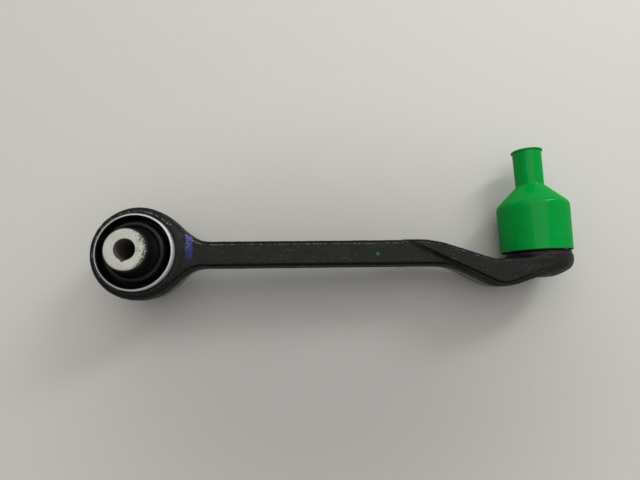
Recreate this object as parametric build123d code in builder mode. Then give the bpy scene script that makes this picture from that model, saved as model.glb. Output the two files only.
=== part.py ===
from build123d import *
import os
from math import cos, radians, sin, sqrt, tan

os.makedirs("parts", exist_ok=True)

# Lower control arm: a forged link with a rubber bush at one end and a capped ball joint at the other.
# Millimetres. The origin is the middle of the bush bore, Z is the bush axis, X points to the ball joint
# and Y is parallel to the stud axis, towards its thread.

# Bush
bore_diameter = 12.2
notch_width = 3.0
notch_depth = 1.3
notch_angle = -99.0
sleeve_diameter = 23.4
sleeve_length = 60.0
sleeve_chamfer = 0.7
ring_diameter = 45.7
ring_wall = 1.4
ring_length = 34.0
ring_bevel = 0.6
rubber_gap = 0.02
rubber_skin = 0.8
rubber_stand_back = 1.6
rubber_flank_height = 6.0
crest_distance = 5.05
crest_width = 1.8
crest_inset = 0.4
groove_distance = 2.25
groove_depth = 9.0
rubber_edge_inset = 2.0

# Eye, the forging's boss round the bush
eye_wall = 4.8
eye_height = 26.0
eye_draft = 3.0
eye_edge_radius = 1.2
eye_root_radius = 1.8

# Bar, the straight middle of the forging
bar_width = 15.2
bar_height = 22.0
bar_angle = -1.28
bar_offset = -1.1
bar_corner_radius = 2.0
bar_eye_inset = 0.4
bar_top_blend = 16.0
bar_bottom_blend = 11.0

# Neck, a raised slab that turns down to the ball joint, with a keel under its toe
joint_distance = 247.7
neck_bend = 179.0
neck_bend_radius = 60.0
neck_top_angle = -20.9
neck_bottom_angle = -27.9
neck_elbow = 191.5
neck_elbow_radius = 50.0
neck_edge_radius = 1.2
neck_side_step = 0.1
neck_top_step = 0.1
shelf_drop = 2.0
shelf_blend = 8.0
toe_start = 218.1
toe_angle = 19.0
toe_radius = 12.0
keel_start = 221.6
keel_angle = 16.7
keel_radius = 25.0
keel_width = 20.0
keel_corner_radius = 3.0

# Trimmed flash line round the middle of the forging
flash_height = 2.4
flash_width = 0.4

# Housing and bearing of the ball joint
ball_diameter = 24.0
ball_gap = 0.05
race_wall = 1.8
race_cover_angle = 36.0
race_base_hole = 9.0
race_slots = 6
race_slot_width = 1.2
race_slot_depth = 5.0
race_seat_gap = 0.02
housing_diameter = 41.0
housing_floor = 4.0
housing_base = -22.4
pad_diameter = 14.0
dome_radius = 33.0
dome_corner_radius = 3.0
housing_shoulder = -8.6
collar_diameter = 34.0
boot_groove_diameter = 31.6
boot_groove_width = 3.2
boot_groove_rise = 1.8
closing_ring_height = 1.5
closing_ring_bore = 22.4
rim_lip = 1.3
rim_bore = 24.4
rim_chamfer = 1.0

# Stud
stud_neck_diameter = 12.8
stud_neck_rise = 12.5
stud_seat_diameter = 16.4
stud_seat_rise = 19.0
stud_seat_length = 7.0
taper_end_diameter = 14.2
taper_length = 15.0
relief_diameter = 11.8
relief_length = 2.0
thread_diameter = 14.0
thread_length = 18.5
thread_chamfer = 1.2
socket_flats = 5.0
socket_depth = 4.0

# Dust boot and its two rings
boot_wall = 1.1
boot_gap = 0.05
boot_bulge_diameter = 37.2
boot_shoulder_rise = 16.0
boot_shoulder_radius = 6.0
boot_neck_wall = 1.95
boot_neck_length = 5.6
boot_neck_blend = 1.5
boot_ring_thickness = 1.0
boot_ring_width = 1.6
boot_ring_gap = 0.02

# Transport cap
cap_wall = 0.6
cap_gap = 2.5
cap_rim_diameter = 42.0
cap_shoulder_diameter = 43.4
cap_skirt_height = 29.6
cap_shoulder_radius = 5.0
cap_neck_diameter = 17.0
cap_cone_height = 13.1
cap_neck_blend = 2.0
cap_top_diameter = 17.5
cap_neck_height = 23.6
cap_lip_diameter = 19.0
cap_lip_thickness = 0.7

# Levels and radii that the pieces share
sleeve_radius = sleeve_diameter / 2
ring_radius = ring_diameter / 2
ring_inner_radius = ring_radius - ring_wall
eye_radius = ring_radius + eye_wall
eye_face_radius = eye_radius - eye_height / 2 * tan(radians(eye_draft))
eye_blend_radius = eye_radius - bar_eye_inset
race_inner_radius = ball_diameter / 2 + ball_gap
race_outer_radius = race_inner_radius + race_wall
race_seat_radius = race_outer_radius + race_seat_gap
housing_radius = housing_diameter / 2
ball_level = housing_base + housing_floor + race_seat_radius
race_top = ball_level + race_inner_radius * sin(radians(race_cover_angle))
closing_ring_top = race_top + closing_ring_height
rim_top = closing_ring_top + rim_lip
boot_groove_base = housing_shoulder + boot_groove_rise
boot_groove_top = boot_groove_base + boot_groove_width
stud_seat_base = ball_level + stud_seat_rise
taper_base = stud_seat_base + stud_seat_length
relief_base = taper_base + taper_length
thread_base = relief_base + relief_length
stud_top = thread_base + thread_length
cap_rim = housing_shoulder + cap_gap
cap_shoulder = cap_rim + cap_skirt_height
cap_neck_base = cap_shoulder + cap_cone_height
cap_top = cap_neck_base + cap_neck_height
stud_axis = Axis((joint_distance, 0, 0), (0, 1, 0))


def bar_edge(x, side):
    """Level of the bar's upper (side 1) or lower (side -1) edge at x."""
    slope = radians(bar_angle)
    return bar_offset + x * tan(slope) + side * bar_width / 2 / cos(slope)


def sloped(start, angle, x):
    """Point at x on the line that leaves start at an angle."""
    return (x, start[1] + (x - start[0]) * tan(radians(angle)))


def corner_near(sketch, point):
    """Corner of a sketch that lies nearest to a point."""
    return sketch.vertices().sort_by_distance((point[0], point[1], 0))[0]


def at_joint(radius, level):
    """Point of a profile that turns about the stud axis."""
    return (joint_distance + radius, level)


def joint_plane(level):
    """Plane across the stud axis, facing the thread."""
    return Plane(origin=(joint_distance, level, 0), x_dir=(1, 0, 0), z_dir=(0, 1, 0))


# Bush: outer sleeve
with BuildPart() as bush_outer_sleeve:
    with BuildSketch():
        Circle(ring_radius)
        Circle(ring_inner_radius, mode=Mode.SUBTRACT)
    extrude(amount=ring_length / 2, both=True)
    chamfer(bush_outer_sleeve.edges().filter_by(GeomType.CIRCLE), ring_bevel)

# Bush: inner sleeve with a notched bore
with BuildPart() as bush_inner_sleeve:
    with BuildSketch():
        Circle(sleeve_radius)
        Circle(bore_diameter / 2, mode=Mode.SUBTRACT)
        with PolarLocations(bore_diameter / 2, 1, start_angle=notch_angle):
            Polygon(
                (notch_depth, 0),
                (-notch_depth, notch_width),
                (-notch_depth, -notch_width),
                align=None,
                mode=Mode.SUBTRACT,
            )
    extrude(amount=sleeve_length / 2, both=True)
    outer_rims = bush_inner_sleeve.edges().filter_by(GeomType.CIRCLE).group_by(SortBy.RADIUS)[-1]
    chamfer(outer_rims, sleeve_chamfer)

# Bush: rubber, with a flank up the inner sleeve, a crest and a groove inside the outer sleeve
with BuildPart() as bush_rubber:
    with BuildSketch(Plane.XZ):
        with BuildLine():
            bond_radius = sleeve_radius + rubber_gap
            skin_radius = bond_radius + rubber_skin
            skin_top = sleeve_length / 2 - rubber_stand_back
            crest_level = ring_length / 2 - crest_inset
            flank_base = crest_level + rubber_flank_height
            crest_radius = ring_inner_radius - crest_distance
            crest_inner = crest_radius - crest_width / 2
            crest_outer = crest_radius + crest_width / 2
            groove_radius = ring_inner_radius - groove_distance
            groove_level = ring_length / 2 - groove_depth
            edge_level = ring_length / 2 - rubber_edge_inset
            Polyline((bond_radius, 0), (bond_radius, skin_top), (skin_radius, skin_top))
            Line((skin_radius, skin_top), (skin_radius, flank_base))
            TangentArc((skin_radius, flank_base), (crest_inner, crest_level), tangent=(0, -1))
            ThreePointArc(
                (crest_inner, crest_level),
                (crest_radius, crest_level + crest_width / 2),
                (crest_outer, crest_level),
            )
            Spline(
                (crest_outer, crest_level),
                (groove_radius, groove_level),
                (ring_inner_radius, edge_level),
                tangents=((0.2, -1), (0, 1)),
            )
            Line((ring_inner_radius, edge_level), (ring_inner_radius, 0))
            mirror(about=Plane.XZ)
        make_face()
    revolve(axis=Axis.Z)

# Corners of the bar and the neck in side view
elbow_top = (neck_bend, bar_edge(neck_bend, 1))
elbow_bottom = (neck_elbow, bar_edge(neck_elbow, -1))
crease_slope = tan(radians(bar_angle)) - tan(radians(neck_bottom_angle))
neck_start = neck_elbow - bar_width / cos(radians(bar_angle)) / crease_slope
crease_start = (neck_start, bar_edge(neck_start, 1))
shelf_level = housing_shoulder - shelf_drop
shelf_start = neck_bend + (elbow_top[1] - shelf_level) / tan(radians(-neck_top_angle))
toe = sloped(elbow_bottom, neck_bottom_angle, toe_start)
keel_toe = sloped(elbow_bottom, neck_bottom_angle, keel_start)

# Outline of the eye and the bar, with a blend of its own radius on each side of the eye
with BuildSketch() as bar_outline:
    Circle(eye_blend_radius)
    Polygon(
        (0, bar_edge(0, 1)),
        elbow_top,
        (shelf_start, shelf_level),
        toe,
        elbow_bottom,
        (0, bar_edge(0, -1)),
        align=None,
    )
    fillet(corner_near(bar_outline, (eye_blend_radius, bar_edge(eye_blend_radius, 1))), bar_top_blend)
    fillet(corner_near(bar_outline, (eye_blend_radius, bar_edge(eye_blend_radius, -1))), bar_bottom_blend)
    fillet(corner_near(bar_outline, elbow_bottom), neck_elbow_radius)
    fillet(corner_near(bar_outline, elbow_top), neck_bend_radius)

# Outline of the neck's raised slab, with its shelf and its toe beside the housing
with BuildSketch() as neck_outline:
    Polygon(
        crease_start,
        (neck_bend, elbow_top[1] - neck_top_step),
        (shelf_start, shelf_level - neck_top_step),
        (joint_distance, shelf_level - neck_top_step),
        sloped(toe, toe_angle, joint_distance),
        toe,
        align=None,
    )
    fillet(corner_near(neck_outline, elbow_top), neck_bend_radius)
    fillet(corner_near(neck_outline, (shelf_start, shelf_level)), shelf_blend)
    fillet(corner_near(neck_outline, toe), toe_radius)

# Outline of the keel, which runs from the toe to the pad under the housing
with BuildSketch() as keel_outline:
    Polygon(
        elbow_bottom,
        (neck_bend, bar_edge(neck_bend, 0)),
        (shelf_start, shelf_level - keel_corner_radius),
        (joint_distance, shelf_level - keel_corner_radius),
        sloped(keel_toe, keel_angle, joint_distance),
        keel_toe,
        align=None,
    )
    fillet(corner_near(keel_outline, keel_toe), keel_radius)

# Plan of the neck, which widens from the bar's height to the housing's
with BuildSketch(Plane.XZ.offset(-housing_diameter)) as neck_plan:
    with BuildLine():
        Line((neck_start, -bar_height / 2), (neck_start, bar_height / 2))
        CenterArc((joint_distance, 0), housing_radius - neck_side_step, 0, 360)
    make_hull()

# Half outline of the housing, from its domed base to the collar that carries the boot
dome_center = housing_base + sqrt(dome_radius**2 - (pad_diameter / 2) ** 2)
dome_edge = dome_center - sqrt(dome_radius**2 - housing_radius**2)
collar_radius = collar_diameter / 2
boot_groove_radius = boot_groove_diameter / 2
with BuildSketch() as housing_half:
    with BuildLine():
        Polyline(
            at_joint(housing_radius, dome_edge),
            at_joint(housing_radius, housing_shoulder),
            at_joint(boot_groove_radius, housing_shoulder),
            at_joint(boot_groove_radius, boot_groove_top),
            at_joint(collar_radius, boot_groove_top),
            at_joint(collar_radius, rim_top - rim_chamfer),
            at_joint(collar_radius - rim_chamfer, rim_top),
            at_joint(0, rim_top),
            at_joint(0, housing_base),
            at_joint(pad_diameter / 2, housing_base),
        )
        RadiusArc(
            at_joint(pad_diameter / 2, housing_base),
            at_joint(housing_radius, dome_edge),
            -dome_radius,
        )
    make_face()
    fillet(corner_near(housing_half, at_joint(housing_radius, dome_edge)), dome_corner_radius)

# Half outline of the cavity that takes the race, the closing ring and the neck of the stud
cavity_floor = ball_level - sqrt(race_seat_radius**2 - (race_base_hole / 2) ** 2)
with BuildSketch() as cavity_half:
    with BuildLine():
        RadiusArc(
            at_joint(race_base_hole / 2, cavity_floor),
            at_joint(race_seat_radius, ball_level),
            -race_seat_radius,
        )
        Polyline(
            at_joint(race_seat_radius, ball_level),
            at_joint(race_seat_radius, closing_ring_top),
            at_joint(rim_bore / 2, closing_ring_top),
            at_joint(rim_bore / 2, rim_top),
            at_joint(0, rim_top),
            at_joint(0, cavity_floor),
            at_joint(race_base_hole / 2, cavity_floor),
        )
    make_face()

# Middle plane of the forging, a little proud of it all round
with BuildSketch() as flash_outline:
    Circle(eye_radius)
    add(bar_outline.sketch)
    add(keel_outline.sketch)
    Polygon(
        at_joint(-housing_radius, housing_shoulder - flash_height),
        at_joint(housing_radius, housing_shoulder - flash_height),
        at_joint(housing_radius, dome_edge + dome_corner_radius),
        at_joint(-housing_radius, dome_edge + dome_corner_radius),
        align=None,
    )
    offset(amount=flash_width)

# Bar: rounded along both faces
with BuildPart() as bar:
    extrude(bar_outline.sketch, amount=bar_height / 2, both=True)
    bar_rims = bar.edges().filter_by(lambda rim: abs(abs(rim.center().Z) - bar_height / 2) < 0.01)
    fillet(bar_rims.filter_by_position(Axis.X, eye_radius / 2, joint_distance), bar_corner_radius)

# Neck: the slab's outline cut to its plan
with BuildPart() as neck:
    extrude(neck_outline.sketch, amount=housing_diameter, both=True)
    extrude(neck_plan.sketch, amount=2 * housing_diameter, mode=Mode.INTERSECT)
    neck_end = joint_distance - neck_edge_radius
    neck_rims = neck.edges().filter_by(lambda rim: abs(rim.center().Z) > bar_height / 2)
    fillet(neck_rims.filter_by_position(Axis.X, neck_start, neck_end), neck_edge_radius)

# Keel: narrower than the slab, with softer edges
with BuildPart() as keel:
    extrude(keel_outline.sketch, amount=keel_width / 2, both=True)
    keel_top = shelf_level - keel_corner_radius
    keel_rims = keel.edges().filter_by(lambda rim: abs(abs(rim.center().Z) - keel_width / 2) < 0.01)
    fillet(keel_rims.filter_by_position(Axis.Y, -housing_diameter, keel_top, (True, False)), keel_corner_radius)

# Arm: one forging, machined at the eye's bore and in the housing
with BuildPart() as arm:
    with BuildSketch(Plane.XZ):
        Polygon(
            (0, -eye_height / 2),
            (eye_face_radius, -eye_height / 2),
            (eye_radius, 0),
            (eye_face_radius, eye_height / 2),
            (0, eye_height / 2),
            align=None,
        )
    revolve(axis=Axis.Z)
    eye_rims = arm.edges().filter_by(GeomType.CIRCLE).filter_by(lambda rim: abs(rim.center().Z) > flash_height)
    fillet(eye_rims, eye_edge_radius)
    add(bar.part)
    bar_level = bar_height / 2
    eye_roots = arm.edges().filter_by(GeomType.CIRCLE).filter_by_position(Axis.X, 0, eye_radius + bar_width)
    fillet(eye_roots.filter_by(lambda root: abs(abs(root.center().Z) - bar_level) < 0.01), eye_root_radius)
    add(neck.part)
    add(keel.part)
    revolve(housing_half.sketch, axis=stud_axis)
    extrude(flash_outline.sketch, amount=flash_height / 2, both=True)
    revolve(cavity_half.sketch, axis=stud_axis, mode=Mode.SUBTRACT)
    Hole(ring_radius)

# Bearing race: snaps over the ball, so its mouth is slotted
with BuildPart() as bearing_shell:
    with BuildSketch():
        with BuildLine():
            RadiusArc(
                at_joint(0, ball_level - race_outer_radius),
                at_joint(race_outer_radius, ball_level),
                -race_outer_radius,
            )
            Polyline(
                at_joint(race_outer_radius, ball_level),
                at_joint(race_outer_radius, race_top),
                at_joint(0, race_top),
                at_joint(0, ball_level - race_outer_radius),
            )
        make_face()
    revolve(axis=stud_axis)
    with Locations((joint_distance, ball_level, 0)):
        Sphere(race_inner_radius, mode=Mode.SUBTRACT)
    with BuildSketch(joint_plane(ball_level)):
        Circle(race_base_hole / 2)
    extrude(amount=-race_outer_radius, mode=Mode.SUBTRACT)
    with BuildSketch(joint_plane(race_top)):
        with PolarLocations(race_outer_radius, race_slots):
            Rectangle(2 * race_outer_radius - race_inner_radius, race_slot_width)
    extrude(amount=-race_slot_depth, mode=Mode.SUBTRACT)

# Closing ring under the housing's rolled rim
with BuildPart() as closing_ring:
    with BuildSketch(joint_plane(race_top)):
        Circle(race_seat_radius - race_seat_gap)
        Circle(closing_ring_bore / 2, mode=Mode.SUBTRACT)
    extrude(amount=closing_ring_height)

# Ball stud: ball, waisted neck, boot seat, taper, relief, thread and a hexagon socket
with BuildPart() as ball_stud:
    with BuildSketch():
        stud_neck_radius = stud_neck_diameter / 2
        neck_base = ball_level + sqrt((ball_diameter / 2) ** 2 - stud_neck_radius**2)
        seat_radius = stud_seat_diameter / 2
        thread_radius = thread_diameter / 2
        with BuildLine():
            RadiusArc(
                at_joint(0, ball_level - ball_diameter / 2),
                at_joint(stud_neck_radius, neck_base),
                -ball_diameter / 2,
            )
            Polyline(
                at_joint(stud_neck_radius, neck_base),
                at_joint(stud_neck_radius, ball_level + stud_neck_rise),
                at_joint(seat_radius, stud_seat_base),
                at_joint(seat_radius, taper_base),
                at_joint(taper_end_diameter / 2, relief_base),
                at_joint(relief_diameter / 2, relief_base),
                at_joint(relief_diameter / 2, thread_base),
                at_joint(thread_radius, thread_base),
                at_joint(thread_radius, stud_top - thread_chamfer),
                at_joint(thread_radius - thread_chamfer, stud_top),
                at_joint(0, stud_top),
                at_joint(0, ball_level - ball_diameter / 2),
            )
        make_face()
    revolve(axis=stud_axis)
    with BuildSketch(joint_plane(stud_top)):
        RegularPolygon(socket_flats / 2, 6, major_radius=False)
    extrude(amount=-socket_depth, mode=Mode.SUBTRACT)

# Dust boot: bead in the housing's groove, one bulge and a neck on the stud's seat
boot_bead_radius = collar_radius + boot_gap + boot_wall
boot_neck_bore = stud_seat_diameter / 2 + boot_gap
boot_neck_radius = boot_neck_bore + boot_neck_wall
boot_neck_top = taper_base + boot_wall
boot_neck_base = boot_neck_top - boot_neck_length
lower_ring_level = (boot_groove_base + boot_groove_top) / 2
upper_ring_level = boot_neck_top - boot_neck_length / 2
with BuildPart() as dust_boot:
    with BuildSketch():
        half_wall = boot_wall / 2
        with BuildLine() as boot_line:
            Polyline(
                at_joint(boot_bead_radius - half_wall, boot_groove_top - boot_gap),
                at_joint(boot_bulge_diameter / 2 - half_wall, boot_groove_top + boot_shoulder_rise),
                at_joint(boot_neck_bore + half_wall, boot_neck_base - boot_neck_blend),
                at_joint(boot_neck_bore + half_wall, boot_neck_base + boot_wall),
            )
            bends = boot_line.vertices().sort_by(Axis.Y)
            fillet(bends[1], boot_shoulder_radius)
            fillet(boot_line.vertices().sort_by(Axis.Y)[-2], boot_neck_blend)
        trace(line_width=boot_wall)
        Polygon(
            at_joint(boot_groove_radius + boot_gap, boot_groove_base + boot_gap),
            at_joint(boot_bead_radius, boot_groove_base + boot_gap),
            at_joint(boot_bead_radius, boot_groove_top - boot_gap),
            at_joint(boot_groove_radius + boot_gap, boot_groove_top - boot_gap),
            align=None,
        )
        Polygon(
            at_joint(boot_neck_bore, boot_neck_base),
            at_joint(boot_neck_radius, boot_neck_base),
            at_joint(boot_neck_radius, boot_neck_top),
            at_joint(boot_neck_bore, boot_neck_top),
            align=None,
        )
    revolve(axis=stud_axis)
    for radius, level in ((boot_bead_radius, lower_ring_level), (boot_neck_radius, upper_ring_level)):
        with BuildSketch(joint_plane(level)):
            Circle(radius + boot_wall)
            Circle(radius - boot_ring_thickness, mode=Mode.SUBTRACT)
        extrude(amount=boot_ring_width / 2, both=True, mode=Mode.SUBTRACT)


def boot_ring(boot_radius, level):
    """Flat ring that lies in the boot's channel."""
    with BuildPart() as ring:
        with BuildSketch(joint_plane(level)):
            Circle(boot_radius)
            Circle(boot_radius - boot_ring_thickness + boot_ring_gap, mode=Mode.SUBTRACT)
        extrude(amount=boot_ring_width / 2 - boot_ring_gap, both=True)
    return ring


boot_lower_ring = boot_ring(boot_bead_radius, lower_ring_level)
boot_upper_ring = boot_ring(boot_neck_radius, upper_ring_level)

# Transport cap: thin moulded bottle shape with a closed, lipped end
with BuildPart() as transport_cap:
    with BuildSketch():
        half_wall = cap_wall / 2
        with BuildLine() as cap_line:
            Polyline(
                at_joint(cap_rim_diameter / 2 - half_wall, cap_rim),
                at_joint(cap_shoulder_diameter / 2 - half_wall, cap_shoulder),
                at_joint(cap_neck_diameter / 2 - half_wall, cap_neck_base),
                at_joint(cap_top_diameter / 2 - half_wall, cap_top - half_wall),
            )
            corners = cap_line.vertices().sort_by(Axis.Y)
            fillet(corners[1], cap_shoulder_radius)
            fillet(cap_line.vertices().sort_by(Axis.Y)[-2], cap_neck_blend)
        trace(line_width=cap_wall)
        Polygon(
            at_joint(0, cap_top - cap_lip_thickness),
            at_joint(cap_lip_diameter / 2, cap_top - cap_lip_thickness),
            at_joint(cap_lip_diameter / 2, cap_top),
            at_joint(0, cap_top),
            align=None,
        )
    revolve(axis=stud_axis)

pieces = {
    "arm": arm,
    "bush_outer_sleeve": bush_outer_sleeve,
    "bush_rubber": bush_rubber,
    "bush_inner_sleeve": bush_inner_sleeve,
    "bearing_shell": bearing_shell,
    "closing_ring": closing_ring,
    "ball_stud": ball_stud,
    "dust_boot": dust_boot,
    "boot_lower_ring": boot_lower_ring,
    "boot_upper_ring": boot_upper_ring,
    "transport_cap": transport_cap,
}
for name, piece in pieces.items():
    piece.part.label = name
    export_step(piece.part, f"parts/{name}.step")
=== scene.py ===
import time
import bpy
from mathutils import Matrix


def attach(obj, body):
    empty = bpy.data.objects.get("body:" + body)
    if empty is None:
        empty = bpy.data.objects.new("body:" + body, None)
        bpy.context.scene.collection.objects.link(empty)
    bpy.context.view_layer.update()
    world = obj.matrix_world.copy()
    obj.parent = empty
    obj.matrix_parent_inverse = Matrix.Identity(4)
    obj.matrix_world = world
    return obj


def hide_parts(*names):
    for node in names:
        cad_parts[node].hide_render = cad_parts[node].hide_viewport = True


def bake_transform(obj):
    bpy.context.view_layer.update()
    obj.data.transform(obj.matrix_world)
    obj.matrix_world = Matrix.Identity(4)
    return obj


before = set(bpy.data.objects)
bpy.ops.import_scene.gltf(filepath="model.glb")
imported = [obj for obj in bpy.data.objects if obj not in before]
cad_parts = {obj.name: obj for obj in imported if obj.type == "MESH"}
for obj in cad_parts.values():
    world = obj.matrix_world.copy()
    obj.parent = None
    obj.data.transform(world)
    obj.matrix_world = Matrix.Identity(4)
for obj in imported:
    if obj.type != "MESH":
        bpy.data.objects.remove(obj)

from types import SimpleNamespace

import bmesh
import bpy
import numpy as np
from mathutils import Matrix

# Lower control arm, dressed for the render. Shapes are worked out in millimetres, in the frame of the
# CAD model: origin in the bush, Z along its bore, X to the ball joint, Y along the stud.

mm = 0.001
started = time.time()
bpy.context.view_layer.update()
jointX = 247.7  # distance from the bush to the stud axis
ballLevel = -4.53  # Y of the ball's centre


def report(stage):
    print(f"{time.time() - started:6.1f} s  {stage}")


def metres(values):
    return [value * mm for value in values]


# Meshes


def outward(points, faces):
    # the signed volume is the sum of a . (b x c) over the triangles; where it is negative, faces turn round
    a, b, c, d = (points[faces[:, i]] for i in range(4))
    volume = np.einsum("ij,ij->", a, np.cross(b, c)) + np.einsum("ij,ij->", a, np.cross(c, d))
    return faces if volume > 0 else faces[:, ::-1]


def addPiece(name, points, faces, slot, nodes, body=None, sharp=40.0, marks=None):
    # points in millimetres go into a mesh in metres; doubled points at poles are merged
    mergeDistance = 1e-7
    mesh = bpy.data.meshes.new(name)
    mesh.from_pydata((points * mm).tolist(), [], outward(points, faces).tolist())
    for mark, values in (marks or {}).items():
        layer = mesh.attributes.new(mark, "FLOAT", "POINT")
        layer.data.foreach_set("value", values.astype(np.float32))
    work = bmesh.new()
    work.from_mesh(mesh)
    bmesh.ops.remove_doubles(work, verts=work.verts, dist=mergeDistance)
    work.to_mesh(mesh)
    work.free()
    mesh.shade_smooth()
    mesh.set_sharp_from_angle(angle=np.radians(sharp))
    mesh.materials.append(finishes[slot])
    piece = bpy.data.objects.new(name, mesh)
    bpy.context.scene.collection.objects.link(piece)
    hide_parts(*nodes)
    if body:
        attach(piece, body)
    report(f"{name}: {len(mesh.polygons)} faces")
    return piece


def roundedLine(corners, step=1.0, closed=True):
    # every corner (x, y, radius) becomes an arc tangent to its two sides, and straights are cut into steps
    arcStep = 9  # degrees
    shortest = 1e-6
    count = len(corners)
    line = []
    for i, (x, y, radius) in enumerate(corners):
        here = np.array((x, y), float)
        if radius <= 0 or (not closed and i in (0, count - 1)):
            line.append(here[None])
            continue
        before = np.array(corners[i - 1][:2], float) - here
        after = np.array(corners[(i + 1) % count][:2], float) - here
        before /= np.linalg.norm(before)
        after /= np.linalg.norm(after)
        halfAngle = np.arccos(np.clip(before @ after, -1, 1)) / 2
        reach = radius / np.tan(halfAngle)
        middle = here + (before + after) / np.linalg.norm(before + after) * radius / np.sin(halfAngle)
        first = here + before * reach - middle
        last = here + after * reach - middle
        turn = np.pi - 2 * halfAngle
        share = np.linspace(0, 1, max(4, int(np.degrees(turn) / arcStep) + 2))[:, None]
        arc = np.sin((1 - share) * turn) * first + np.sin(share * turn) * last
        line.append(middle + arc / np.sin(turn))
    points = np.vstack(line)
    if closed:
        points = np.vstack((points, points[:1]))
    cuts = []
    for start, finish in zip(points[:-1], points[1:]):
        length = np.linalg.norm(finish - start)
        if length > shortest:
            share = np.linspace(0, 1, max(1, int(np.ceil(length / step))), endpoint=False)[:, None]
            cuts.append(start + share * (finish - start))
    return np.vstack(cuts if closed else cuts + [points[-1:]])


def curveThrough(*ends, count=14):
    # cubic Bezier pieces: each end is (point, leaving handle) or (point, arriving handle, leaving handle)
    share = np.linspace(0, 1, count)[:, None]
    rest = 1 - share
    pieces = []
    for start, finish in zip(ends[:-1], ends[1:]):
        a, b, c, d = (np.array(p, float) for p in (start[0], start[-1], finish[1], finish[0]))
        pieces.append(rest**3 * a + 3 * rest**2 * share * b + 3 * rest * share**2 * c + share**3 * d)
    return np.vstack(pieces)


def band(inner, outer, low, high, innerEdge, outerEdge):
    # section of a ring: a rectangle with one edge radius inside and one outside
    return [
        (inner, low, innerEdge), (outer, low, outerEdge),
        (outer, high, outerEdge), (inner, high, innerEdge),
    ]


def turned(profile, axis, segments, closed=True, shape=None):
    # surface of revolution: (radius, level) at angle t lies at radius cos t, radius sin t round the axis,
    # where shape(radius, level, t) may give each point a radius of its own
    radius = np.repeat(profile[:, :1], segments, axis=1)
    level = np.repeat(profile[:, 1:], segments, axis=1)
    angle = np.broadcast_to(np.linspace(0, 2 * np.pi, segments, endpoint=False), radius.shape)
    if shape:
        radius = shape(radius, level, angle)
    if axis == "bush":
        points = np.stack((radius * np.cos(angle), radius * np.sin(angle), level), axis=-1)
    else:
        points = np.stack((jointX + radius * np.cos(angle), level, radius * np.sin(angle)), axis=-1)
    rows = np.arange(len(profile) if closed else len(profile) - 1)[:, None]
    columns = np.arange(segments)[None]
    nextRow = (rows + 1) % len(profile)
    nextColumn = (columns + 1) % segments
    ring = ((rows, columns), (rows, nextColumn), (nextRow, nextColumn), (nextRow, columns))
    faces = np.stack([row * segments + column for row, column in ring], axis=-1)
    return points.reshape(-1, 3), faces.reshape(-1, 4)


def unevenness(points, size, seed):
    # value noise: seeded random numbers on a lattice of that size, joined by smooth steps, from -1 to 1
    lattice = 32
    table = np.random.default_rng(seed).uniform(-1, 1, (lattice, lattice, lattice))
    place = points / size
    base = np.floor(place).astype(int)
    part = place - base
    part = part * part * (3 - 2 * part)
    total = np.zeros(points.shape[:-1])
    for corner in np.ndindex(2, 2, 2):
        weight = np.prod(np.where(corner, part, 1 - part), axis=-1)
        at = (base + corner) % lattice
        total += weight * table[at[..., 0], at[..., 1], at[..., 2]]
    return total


# Fields: distance in millimetres, negative inside the metal


def smoothMin(a, b, width):
    # the smaller of two distances, rounded where they differ by less than width
    part = np.maximum(width - np.abs(a - b), 0) / width
    return np.minimum(a, b) - part * part * width / 4


def smoothMax(a, b, width):
    # the larger of two distances, rounded in the same way
    return -smoothMin(-a, -b, width)


def roundMax(a, b, radius):
    # the larger of two distances, with an edge of that radius
    outside = np.hypot(np.maximum(a + radius, 0), np.maximum(b + radius, 0))
    return np.minimum(np.maximum(a, b), -radius) + outside


def bendWidth(radius, turn):
    # width for smoothMin that brings two lines which turn by that angle into a bend of that radius
    return 4 * radius * (1 - np.cos(np.radians(turn) / 2))


def above(x, y, start, angle):
    # height of a point over the line that leaves start at an angle
    angle = np.radians(angle)
    return (y - start[1]) * np.cos(angle) - (x - start[0]) * np.sin(angle)


def slopeOf(field, points, reach):
    # gradient by central differences
    steps = np.eye(3) * reach
    rises = [field(*(points + s).T) - field(*(points - s).T) for s in steps]
    return np.stack(rises, axis=-1) / (2 * reach)


def settle(field, points):
    # two Newton steps along the gradient, each short of a limit, bring the points onto the field's zero
    reach = 0.05
    flattest = 0.2  # least squared slope that is divided by
    longest = 0.4
    for _ in range(2):
        slope = slopeOf(field, points, reach)
        value = field(*points.T)
        move = slope * (value / np.maximum((slope**2).sum(axis=-1), flattest))[:, None]
        points = points - np.clip(move, -longest, longest)
    return points


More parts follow.
